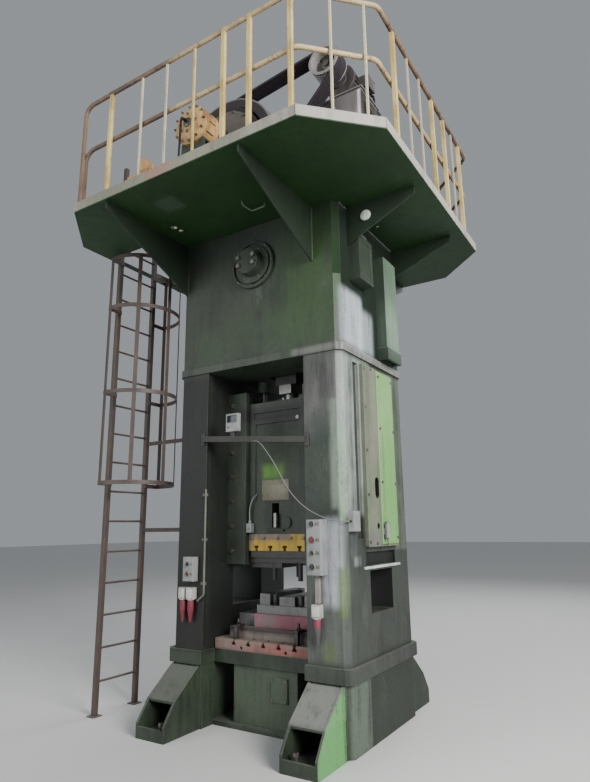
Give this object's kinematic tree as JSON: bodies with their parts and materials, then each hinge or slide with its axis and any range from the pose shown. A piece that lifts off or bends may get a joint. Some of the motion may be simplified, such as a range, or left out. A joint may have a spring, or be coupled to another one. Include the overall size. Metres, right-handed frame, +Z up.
{
  "type": "crank press",
  "caption": "Tall straight-side crank press with a platform and guard rail round its crown, gear drive, flywheel, belt-driven motor and caged ladder.",
  "frame": {"origin": "on the floor under the middle of the bed, on the bed's bottom face", "axes": "+Z up, +X to the machine's right seen from the front, -Y out of the front towards the operator"},
  "size_m": [3.4, 3.35, 5.9489],
  "materials": {
    "green_frame": "dark green paint, greasy and faded, with pale scuffs",
    "green_cover": "paler green paint, streaked",
    "mint_trunk": "light green paint",
    "bolt_steel": "oily turned steel",
    "bolster_orange": "worn salmon paint over scuffed steel",
    "slide_green": "dark greasy green paint",
    "slide_yellow": "chipped yellow paint",
    "worn_steel": "oily machined steel",
    "dark_cast": "dark cast iron",
    "die_grey": "bare worn tool steel",
    "die_red": "worn pink-red paint",
    "bronze": "bronze bushes",
    "green_guard": "dusty green paint",
    "belt_rubber": "dusty rubber",
    "wire_black": "thin sheathed cable",
    "brake_ochre": "rusty ochre",
    "motor_grey": "dusty grey paint",
    "deck_green": "dull green paint",
    "post_cream": "faded cream-yellow paint",
    "rail_rust": "worn yellow paint gone to rust",
    "ladder_dark": "dark rusty paint",
    "box_grey": "grey enamel",
    "button_black": "black plastic",
    "button_red": "red plastic",
    "plug_red": "red plastic plugs in pale sockets"
  },
  "bodies": {
    "frame": {"bed": "green_frame", "upright_right": "green_frame", "upright_left": "green_frame", "side_covers": "green_cover", "front_covers": "green_cover", "frame_bolts": "bolt_steel", "crown": "green_frame", "tie_rods": "bolt_steel", "bolster": "bolster_orange", "slide_gibs": "slide_green", "gear_guard": "green_guard", "v_belts": "belt_rubber", "sensor_wire": "wire_black", "die_shoe": "die_grey", "die_plate": "die_red", "lower_die": "die_grey", "balancer_cylinders": "green_guard", "bearing_pedestals": "green_guard", "brake_housing": "brake_ochre", "brake_stand": "green_guard", "motor_body": "motor_grey", "motor_stand": "green_guard", "platform_deck": "deck_green", "toe_board": "deck_green", "platform_brackets": "green_frame", "guardrail_posts": "post_cream", "guardrail_rails": "rail_rust", "ladder": "ladder_dark", "ladder_cage": "ladder_dark", "crown_side_boxes": "green_cover", "air_trunk": "mint_trunk", "control_boxes": "box_grey", "power_sockets": "plug_red", "small_boxes": "box_grey", "cross_bar": "slide_green", "air_pipe": "ladder_dark", "deck_cabinet": "box_grey", "lubrication_unit": "brake_ochre", "shaft_bushes": "bronze"},
    "ram": {"slide": "slide_green", "slide_plate": "slide_yellow", "balancer_rods": "worn_steel", "upper_die": "dark_cast"},
    "knockout": {"knockout_bar": "worn_steel"},
    "crank": {"crankshaft": "worn_steel", "bull_gear": "dark_cast"},
    "rod": {"connecting_rod": "dark_cast", "rod_cap": "bolt_steel", "adjusting_screw": "bolt_steel"},
    "middle_gears": {"middle_shaft": "worn_steel"},
    "fast_gears": {"fast_shaft": "worn_steel", "clutch_and_brake": "worn_steel"},
    "wheel": {"flywheel": "dark_cast"},
    "rotor": {"motor_pulley": "dark_cast"},
    "button_start": {"button_start": "button_black"},
    "button_stop": {"button_stop": "button_red"},
    "button_inch": {"button_inch": "button_black"},
    "button_select": {"button_select": "button_black"},
    "button_left_upper": {"button_left_upper": "button_black"},
    "button_left_lower": {"button_left_lower": "button_red"}
  },
  "joints": [
    {"name": "ram_stroke", "type": "slide", "parent": "frame", "child": "ram", "axis": [0, 0, -1], "range_m": [0, 0.2]},
    {"name": "knockout_lift", "type": "slide", "parent": "ram", "child": "knockout", "axis": [0, 0, 1], "range_m": [0, 0.06]},
    {"name": "crank_turn", "type": "hinge", "parent": "frame", "child": "crank", "pos_m": [0, 0, 4.11], "axis": [0, 1, 0], "range_deg": [0, 180]},
    {"name": "rod_pivot", "type": "hinge", "parent": "crank", "child": "rod", "pos_m": [0, 0, 4.21], "axis": [0, 1, 0], "range_deg": [-180, 0]},
    {"name": "middle_turn", "type": "hinge", "parent": "frame", "child": "middle_gears", "pos_m": [0, 0, 4.852], "axis": [0, 1, 0], "range_deg": [-880.01, 0]},
    {"name": "fast_turn", "type": "hinge", "parent": "frame", "child": "fast_gears", "pos_m": [-0.17, 0, 5.24697], "axis": [0, 1, 0], "range_deg": [0, 2904.01]},
    {"name": "flywheel_spin", "type": "hinge", "parent": "frame", "child": "wheel", "pos_m": [-0.17, 0, 5.24697], "axis": [0, 1, 0], "continuous": true},
    {"name": "motor_spin", "type": "hinge", "parent": "frame", "child": "rotor", "pos_m": [0.943, 0, 5.789], "axis": [0, 1, 0], "continuous": true},
    {"name": "start_press", "type": "slide", "parent": "frame", "child": "button_start", "axis": [0, 1, 0], "range_m": [0, 0.006], "stiffness_N_per_m": 900, "springref_m": -0.003},
    {"name": "stop_press", "type": "slide", "parent": "frame", "child": "button_stop", "axis": [0, 1, 0], "range_m": [0, 0.006], "stiffness_N_per_m": 900, "springref_m": -0.003},
    {"name": "inch_press", "type": "slide", "parent": "frame", "child": "button_inch", "axis": [0, 1, 0], "range_m": [0, 0.006], "stiffness_N_per_m": 900, "springref_m": -0.003},
    {"name": "select_press", "type": "slide", "parent": "frame", "child": "button_select", "axis": [0, 1, 0], "range_m": [0, 0.006], "stiffness_N_per_m": 900, "springref_m": -0.003},
    {"name": "left_upper_press", "type": "slide", "parent": "frame", "child": "button_left_upper", "axis": [0, 1, 0], "range_m": [0, 0.006], "stiffness_N_per_m": 900, "springref_m": -0.003},
    {"name": "left_lower_press", "type": "slide", "parent": "frame", "child": "button_left_lower", "axis": [0, 1, 0], "range_m": [0, 0.006], "stiffness_N_per_m": 900, "springref_m": -0.003}
  ],
  "couplings": [
    {"joint": "crank_turn", "follows": "ram_stroke", "rad_per_m": 15.708},
    {"joint": "rod_pivot", "follows": "ram_stroke", "rad_per_m": -15.708},
    {"joint": "middle_turn", "follows": "ram_stroke", "rad_per_m": -76.794},
    {"joint": "fast_turn", "follows": "ram_stroke", "rad_per_m": 253.42},
    {"joint": "motor_spin", "follows": "flywheel_spin", "ratio": 3.901}
  ]
}
